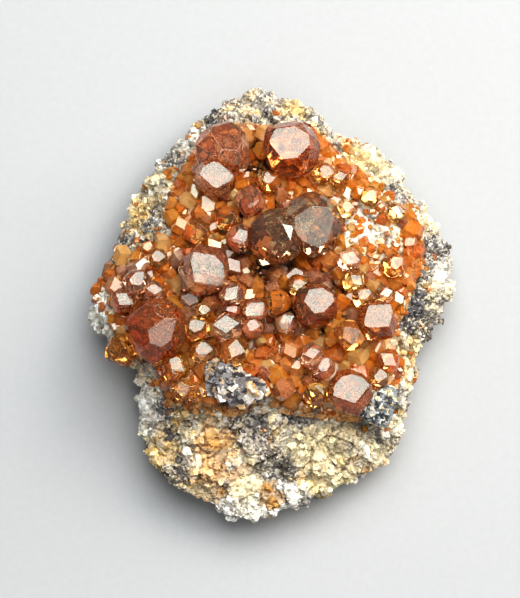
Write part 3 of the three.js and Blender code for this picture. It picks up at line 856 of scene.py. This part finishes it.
def rock_tints(blocks, grains):
    """Colour of each point by its grain and its block. The alpha is its share of black and white grains."""
    rng = random.Random(15)
    tints = np.array([rock_tone(p, rng) for p in grains.middles])[grains.index]
    lifts = grains.rng.uniform(0.6, 1.06, len(grains.middles))
    lifts[grains.rng.random(len(lifts)) < 0.09] *= 0.5
    tints[:, :3] *= lifts[grains.index, None]
    whole = np.array([rock_tone(p) for p in blocks.middles])[blocks.index]
    share = (blocks.rng.random(len(blocks.middles)) < 0.45)[blocks.index, None]
    tints[:, :3] += 0.6 * share * (whole[:, :3] - tints[:, :3])
    tints[:, :3] *= blocks.rng.uniform(0.8, 1.14, len(blocks.middles))[blocks.index, None]
    tints[:, 3] *= grains.rng.uniform(0.5, 1.3, len(grains.middles))[grains.index]
    return np.clip(tints, 0, 0.96)


def colour_bed(tints, points, inside, groove):
    """Colours the bed of the small crystals and paints shade into it: darkest in the middle of the field and
    in its hollows, and darker along the grooves.
    """
    rock = settings("rock")
    bare = np.array([bareness(x, y) for x, y, _ in points[inside]])
    covered = (1 - smooth_step(bare, 0, 0.5))[:, None]
    swell = np.array([[noise.noise(Vector(p) / (1.7 * MM))] for p in points[inside]])
    inner = np.hypot(*(points[inside, :2] - FIELD_MIDDLE).T)[:, None]
    # deep is the share of painted shade in the gaps between the small crystals, most in the middle of the
    # field.
    deep = (0.75 + 0.25 * smooth_step(swell, -0.1, 0.3)) * (1 - 0.8 * smooth_step(inner, 9 * MM, 17 * MM))
    bed = (np.array(rock.bed) * (1 - deep) + np.array(rock.shade) * deep) * groove[inside, None]
    tints[inside, :3] += 0.85 * covered * (bed - tints[inside, :3])
    tints[inside, 3:] *= 1 - 0.6 * covered
    # Painted shade: the bed turns nearly black in the middle of each hollow.
    hollow_shade = np.array([hollowness(x, y) for x, y, _ in points[inside]])
    tints[inside, :3] *= (1 - 0.92 * smooth_step(hollow_shade, 0, 0.35))[:, None]


class SPECIMEN_OT_rock(bpy.types.Operator):
    """Breaks the surface of the rock into blocks and grains"""

    bl_idname = "specimen.rock"
    bl_label = "Rock"

    def execute(self, context):
        rock = settings("rock")
        mesh = remeshed(frame["nodes"][ROCK_NODE], rock.mesh_size, 12)
        points = read(mesh, "co")
        normals = read(mesh, "normal")
        area = sum(polygon.area for polygon in mesh.polygons)
        blocks = Cells(points, rock.block_size, area, 11)
        grains = Cells(points, rock.grain_size, area, 12)
        relief, inside = rock_relief(points, normals, blocks, grains)
        tints = rock_tints(blocks, grains)
        points += normals * relief[:, None]
        points *= (0.985, 1.014, 1)
        points[:, 2] = np.maximum(points[:, 2], 0)
        mesh.vertices.foreach_set("co", points.ravel())
        mesh.update()
        # Painted shade: the colour darkens along the grooves between the grains and, less, between the
        # blocks.
        groove = 0.6 + 0.4 * smooth_step(grains.edge, 0, 0.2 * MM)
        groove *= 0.85 + 0.15 * smooth_step(blocks.edge, 0, 0.6 * MM)
        tints[:, :3] *= groove[:, None]
        colour_bed(tints, points, inside, groove)
        set_tint(mesh, tints)
        piece = add_piece("rock", mesh, rock_material())
        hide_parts(ROCK_NODE)
        return {"FINISHED"}


class SPECIMEN_OT_rock_grains(bpy.types.Operator):
    """Sets loose broken grains of feldspar and quartz on the rock"""

    bl_idname = "specimen.rock_grains"
    bl_label = "Rock grains"

    def execute(self, context):
        rng = random.Random(21)
        shapes = [pebble_shape(rng) for _ in range(24)]
        mesh = bpy.data.objects["rock"].data
        points = read(mesh, "co")
        normals = read(mesh, "normal")
        gathering = Gathering()
        for _ in range(settings("rock").chips):
            index = rng.randrange(len(points))
            x, y, z = points[index]
            if z < 0.6 * MM:
                continue
            if drop(crust_tree, x, y) and normals[index][2] > 0.3 and rng.random() < 0.93:
                continue
            size = 0.2 * MM + 0.62 * MM * rng.random() ** 2.2
            sunk = rng.uniform(0.2, 0.6) * size
            place = points[index] - normals[index] * sunk
            place[2] = max(place[2], 1.25 * size)
            tone = rock_tone(place, rng)
            lift = rng.uniform(0.74, 1.15)
            if rng.random() < 0.35 * tone[3]:
                lift *= 0.35
            own = (*(min(v * lift, 0.95) for v in tone[:3]), tone[3])
            gathering.add(rng.choice(shapes), random_turn(rng), size, place, own)
        piece = gathering.build("rock_grains", rock_material())
        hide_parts(ROCK_NODE)
        return {"FINISHED"}


# ------------ garnets


class SPECIMEN_OT_large_garnets(bpy.types.Operator):
    """Finishes the large garnets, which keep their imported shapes"""

    bl_idname = "specimen.large_garnets"
    bl_label = "Large garnets"

    def execute(self, context):
        for name in GARNET_NODES:
            node = frame["nodes"][name]
            for slot in node.material_slots:
                slot.material = garnet_material(GARNET_TONES[name])
            join = node.modifiers.new("join", "WELD")
            join.merge_threshold = 0.01 * MM
            worn = node.modifiers.new("worn_edges", "BEVEL")
            worn.width = settings("garnet").edge
            worn.segments = 1
            worn.limit_method = "ANGLE"
            worn.angle_limit = math.radians(12)
        return {"FINISHED"}


def is_inside(tree, point, clearance):
    """True where point lies in a closed body with clearance to spare."""
    place, normal, _, away = tree.find_nearest(point)
    return away > clearance and (point - place).dot(normal) < 0


class SPECIMEN_OT_inclusions(bpy.types.Operator):
    """Fills the large garnets with the broken mass they grow from, feathers of specks, and golden threads"""

    bl_idname = "specimen.inclusions"
    bl_label = "Inclusions"

    def execute(self, context):
        rng = random.Random(51)
        flakes = [flake_shape(rng) for _ in range(10)]
        chunks = [chunk_shape(rng) for _ in range(10)]
        needle = needle_shape()
        gathering = Gathering()
        for name in GARNET_NODES:
            tree = node_tree_of([name])
            low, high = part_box(name)
            extent = high - low
            palette = GARNETS[GARNET_TONES[name]]["inside"]

            def put(shape, turn, size, point, clearance, weights):
                if is_inside(tree, point, clearance):
                    tone = srgb(*rng.choices(palette, weights)[0])
                    lift = rng.uniform(0.75, 1.05)
                    gathering.add(shape, turn, size, point, (*(v * lift for v in tone), 1))

            for _ in range(int(8 * extent.x * extent.y / (3 * MM) ** 2)):
                size = rng.uniform(0.35, 1.1) * MM
                point = Vector((
                    rng.uniform(low.x, high.x),
                    rng.uniform(low.y, high.y),
                    low.z + extent.z * rng.uniform(0, 0.24),
                ))
                put(rng.choice(chunks), random_turn(rng), size, point, 0.35 * size, (3, 3, 1))
            if extent.x < 4.4 * MM:
                continue
            centre = (low + high) / 2
            large = extent.x > 6 * MM
            for _ in range(4 if large else 2):
                heart = centre + Vector([rng.uniform(-0.2, 0.2) * v for v in extent])
                plane = random_turn(rng)
                reach = rng.uniform(0.25, 0.42) * extent.x
                bend = rng.uniform(-0.35, 0.35) / reach
                for _ in range(150 if large else 60):
                    across, along = rng.gauss(0, 0.5) * reach, rng.gauss(0, 0.5) * reach
                    rise = bend * (across**2 - along**2) + rng.gauss(0, 0.03) * reach
                    local = np.array((across, along, rise))
                    size = rng.uniform(0.05, 0.17) * MM
                    point = heart + Vector(plane @ local)
                    put(rng.choice(flakes), plane, size, point, size, (1, 2, 4))
            for _ in range(90 if GARNET_TONES[name] == "smoky" else 12):
                size = rng.uniform(0.5, 1.5) * MM
                point = Vector([rng.uniform(a, b) for a, b in zip(low, high)])
                put(needle, random_turn(rng), size, point, 0.8 * size, (0, 1, 4))
        piece = gathering.build("inclusions", feather_material())
        return {"FINISHED"}


def facing_turn(rng, faces, spread):
    """A turn that brings one of a crystal's faces nearly level, off by about spread radians."""
    wanted = (UP + Vector((rng.gauss(0, spread), rng.gauss(0, spread), 0))).normalized()
    turn = rng.choice(faces).rotation_difference(wanted)
    return np.array((Quaternion(wanted, rng.uniform(0, math.tau)) @ turn).to_matrix())


def grows_at(x, y, size, seat, rng):
    """Whether a small crystal of this size may stand at x, y, where seat is what drop found."""
    outward = Vector((x, y)).normalized() * 0.8 * size
    if drop(crust_tree, x + outward.x, y + outward.y) is None:
        strewn = noise.noise(Vector((x, y, 0)) / (2 * MM)) > 0.4 and size < 0.7 * MM
        on_lobe = math.hypot(x / MM - LOBE[0], y / MM - LOBE[1]) < LOBE[2]
        if seat[1].z < 0.6 or not (strewn or on_lobe):
            return False
    bare = bareness(x, y)
    if rng.random() < 0.96 * smooth_step(bare, 0, 0.45) or size > 1.2 * MM and bare > 0.2:
        return False
    return hollowness(x, y) <= 0.1 or size <= 0.8 * MM and rng.random() >= 0.6


class SPECIMEN_OT_small_garnets(bpy.types.Operator):
    """Crowds small garnets over the crystal field, each in the gaps that the larger ones leave"""

    bl_idname = "specimen.small_garnets"
    bl_label = "Small garnets"

    def execute(self, context):
        garnet = settings("garnet")
        rng = random.Random(31)
        fine = [garnet_shape(rng, rng.uniform(0.86, 1.1), uneven=rng.uniform(0.1, 0.4)) for _ in range(8)]
        fine += [garnet_shape(rng, 1.0, kites=False, uneven=0.35) for _ in range(12)]
        middle = [garnet_shape(rng, 1.0, kites=False, uneven=0.4) for _ in range(16)]
        coarse = [garnet_shape(rng, 1.0, kites=False, uneven=0.3) for _ in range(8)]
        gatherings = {tone: Gathering() for tone in ("orange", "amber", "brown")}
        rock = bpy.data.objects["rock"].data
        bed = BVHTree.FromPolygons([v.co for v in rock.vertices], [p.vertices for p in rock.polygons])
        taken = {}
        low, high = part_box(CRUST_NODE)
        cell = 2 * garnet.largest
        for attempt in range(garnet.tries):
            progress = (attempt / garnet.tries) ** 1.2
            size = garnet.largest * (garnet.smallest / garnet.largest) ** min(progress * 1.1, 1)
            size *= rng.uniform(0.75, 1.15)
            x = rng.uniform(low[0] - 2 * MM, high[0] + 2 * MM)
            y = rng.uniform(low[1] - 2 * MM, high[1] + 2 * MM)
            seat = drop(bed, x, y)
            if seat is None or drop(garnet_tree, x, y):
                continue
            if not grows_at(x, y, size, seat, rng):
                continue
            key = (int(x // cell), int(y // cell))
            around = [(key[0] + dx, key[1] + dy) for dx in (-1, 0, 1) for dy in (-1, 0, 1)]
            near = [c for square in around for c in taken.get(square, ())]
            if any((x - c[0]) ** 2 + (y - c[1]) ** 2 < (0.52 * (size + c[2])) ** 2 for c in near):
                continue
            taken.setdefault(key, []).append((x, y, size))
            sunk = rng.uniform(-0.2, 0.4) * size
            warmth = noise.noise(Vector((x, y, 7 * MM)) / (4 * MM))
            outer = smooth_step(math.hypot(x - FIELD_MIDDLE[0], y - FIELD_MIDDLE[1]), 8 * MM, 18 * MM)
            shares = (0.5, max(0.2 + 0.6 * warmth + 0.55 * outer, 0.04), 0.36 - 0.26 * outer)
            tone = rng.choices(("orange", "amber", "brown"), shares)[0]
            shapes = fine if size > 0.9 * MM else middle if size > 0.5 * MM else coarse
            turn = facing_turn(rng, RHOMBS + KITES, 0.34) if rng.random() < 0.5 else random_turn(rng)
            own = srgb(*rng.choice(GARNETS[tone]["grains"]))
            place = (x, y, seat[0] - sunk)
            # The last value is the painted shade at each crystal's foot, less towards the edge of the field.
            gatherings[tone].add(rng.choice(shapes), turn, size, place, (*own, 1), 0.92 - 0.4 * outer)
        for tone, gathering in gatherings.items():
            piece = gathering.build("small_garnets_" + tone, garnet_material(tone, grains=True))
            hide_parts(CRUST_NODE)
        return {"FINISHED"}


# ------------ dark minerals

# Colours of the plates and of the quartz, and how often each turns up.
PLATE_TONES = (
    (srgb(90, 86, 88), 5), (srgb(150, 144, 140), 4), (srgb(210, 202, 190), 3), (srgb(206, 172, 130), 3),
)
QUARTZ_TONES = (
    (srgb(80, 84, 88), 5), (srgb(150, 154, 154), 4), (srgb(224, 222, 212), 3), (srgb(228, 208, 168), 3),
)


def heap(name, node, shapes, count, sizes, material, tones, seed):
    """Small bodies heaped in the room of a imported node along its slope. tones lists (colour, how often)."""
    rng = random.Random(seed)
    tree = node_tree_of([node])
    low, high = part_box(node)
    gathering = Gathering()
    colours, weights = zip(*tones)
    while len(gathering.points) < count:
        x = rng.uniform(low[0], high[0])
        y = rng.uniform(low[1], high[1])
        seat = drop(tree, x, y)
        if seat is None:
            continue
        size = rng.uniform(*sizes)
        lean = seat[1] + Vector((rng.gauss(0, 0.35), rng.gauss(0, 0.35), rng.gauss(0, 0.1)))
        turn = UP.rotation_difference(lean.normalized()) @ Quaternion(UP, rng.uniform(0, math.tau))
        place = (x, y, seat[0] - rng.uniform(0.1, 1.4) * MM)
        lift = rng.uniform(0.8, 1.15)
        tone = tuple(v * lift for v in rng.choices(colours, weights)[0])
        gathering.add(rng.choice(shapes), np.array(turn.to_matrix()), size, place, (*tone, 1))
    piece = gathering.build(name, material)
    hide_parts(node)
    return piece


class SPECIMEN_OT_dark_minerals(bpy.types.Operator):
    """Builds the smoky plates and the blue-grey quartz at the foot of the crystal field"""

    bl_idname = "specimen.dark_minerals"
    bl_label = "Dark minerals"

    def execute(self, context):
        rng = random.Random(40)
        flakes = [flake_shape(rng) for _ in range(12)]
        lumps = [chunk_shape(rng) for _ in range(12)]
        smoky = glassy_material("smoky_glass")
        sizes = (0.3 * MM, 1.2 * MM)
        piece = heap("smoky_plates", PLATE_NODE, flakes, 640, sizes, smoky, PLATE_TONES, 41)
        blue = glassy_material("blue_glass")
        sizes = (0.14 * MM, 0.46 * MM)
        piece = heap("blue_quartz", CHIP_NODE, lumps, 1300, sizes, blue, QUARTZ_TONES, 42)
        return {"FINISHED"}


# ------------ stage


def floor_material():
    material, tree, shader, _, place = start_material("floor")
    paper = place_group(tree, mineral_grain_group(), place, {"Scale": 900.0, "Roughness": 0.5})
    base = tuple(settings("stage").floor)
    shade = mixed(tree, ranged(tree, paper.outputs["Mask"], 0.3, 0.7, 0.0, 0.12), base, (0.5, 0.5, 0.5))
    tree.links.new(shade, shader.inputs["Base Color"])
    shader.inputs["Roughness"].default_value = 0.75
    return material


def add_area_light(name, place, size, watts, tone):
    """A soft round light that points at the specimen."""
    light = bpy.data.lights.new(name, "AREA")
    light.shape = "DISK"
    light.size = size
    light.energy = watts
    light.color = tone
    lamp = bpy.data.objects.new(name, light)
    lamp.location = place
    target = Vector((0, 0, 10 * MM))
    lamp.rotation_euler = (target - Vector(place)).to_track_quat("-Z", "Y").to_euler()
    bpy.context.scene.collection.objects.link(lamp)


class SPECIMEN_OT_stage(bpy.types.Operator):
    """Adds the floor, the soft light and the camera"""

    bl_idname = "specimen.stage"
    bl_label = "Stage"

    def execute(self, context):
        stage = settings("stage")
        scene = context.scene
        target = Vector((-1.9 * MM, 0.5 * MM, 8 * MM))

        bpy.ops.mesh.primitive_plane_add(size=3, location=(0, 0, -0.02 * MM))
        floor = context.active_object
        floor.name = "floor"
        floor.data.materials.append(floor_material())

        view = Vector((0, -math.cos(stage.elevation), math.sin(stage.elevation)))
        camera = bpy.data.cameras.new("camera")
        camera.sensor_fit = "HORIZONTAL"
        camera.lens = camera.sensor_width * stage.distance / stage.view_width
        camera.clip_start = 0.01
        shown = bpy.data.objects.new("camera", camera)
        shown.location = target + view * stage.distance
        shown.rotation_euler = (-view).to_track_quat("-Z", "Y").to_euler()
        scene.collection.objects.link(shown)
        scene.camera = shown

        add_area_light("key", (0.1, 0.2, 0.56), stage.key_size, stage.key_power, (0.95, 0.98, 1.0))
        add_area_light("side", (0.44, 0.26, 0.4), 0.55, stage.side_power, (1.0, 0.94, 0.86))
        add_area_light("front", (0.02, -0.25, 0.56), 0.34, stage.front_power, (0.97, 0.98, 1.0))
        world = bpy.data.worlds.new("studio")
        world.use_nodes = True
        background = world.node_tree.nodes["Background"]
        set_inputs(background, {"Color": (0.86, 0.9, 1.0, 1), "Strength": stage.fill})
        scene.world = world
        scene.view_settings.view_transform = "Standard"
        scene.view_settings.look = "High Contrast"
        return {"FINISHED"}


# ------------ panel and registration

OPERATORS = (
    SPECIMEN_OT_rock,
    SPECIMEN_OT_rock_grains,
    SPECIMEN_OT_large_garnets,
    SPECIMEN_OT_inclusions,
    SPECIMEN_OT_small_garnets,
    SPECIMEN_OT_dark_minerals,
    SPECIMEN_OT_stage,
)


class SPECIMEN_PT_panel(bpy.types.Panel):
    """Lists the steps that build the specimen"""

    bl_label = "Garnet in matrix"
    bl_idname = "SPECIMEN_PT_panel"
    bl_space_type = "VIEW_3D"
    bl_region_type = "UI"
    bl_category = "Specimen"

    def draw(self, context):
        for operator in OPERATORS:
            self.layout.operator(operator.bl_idname)
        for kind, group in SETTINGS.items():
            box = self.layout.box()
            box.label(text=kind.capitalize())
            for key in group.__annotations__:
                box.prop(settings(kind), key)


def register():
    for cls in (*SETTINGS.values(), *OPERATORS, SPECIMEN_PT_panel):
        bpy.utils.register_class(cls)
    for kind, group in SETTINGS.items():
        setattr(bpy.types.Scene, "specimen_" + kind, bpy.props.PointerProperty(type=group))


def unregister():
    for kind in SETTINGS:
        delattr(bpy.types.Scene, "specimen_" + kind)
    for cls in reversed((*SETTINGS.values(), *OPERATORS, SPECIMEN_PT_panel)):
        bpy.utils.unregister_class(cls)


def main():
    register()
    for operator in OPERATORS:
        group, _, name = operator.bl_idname.partition(".")
        getattr(getattr(bpy.ops, group), name)()


if __name__ == "__main__":
    main()
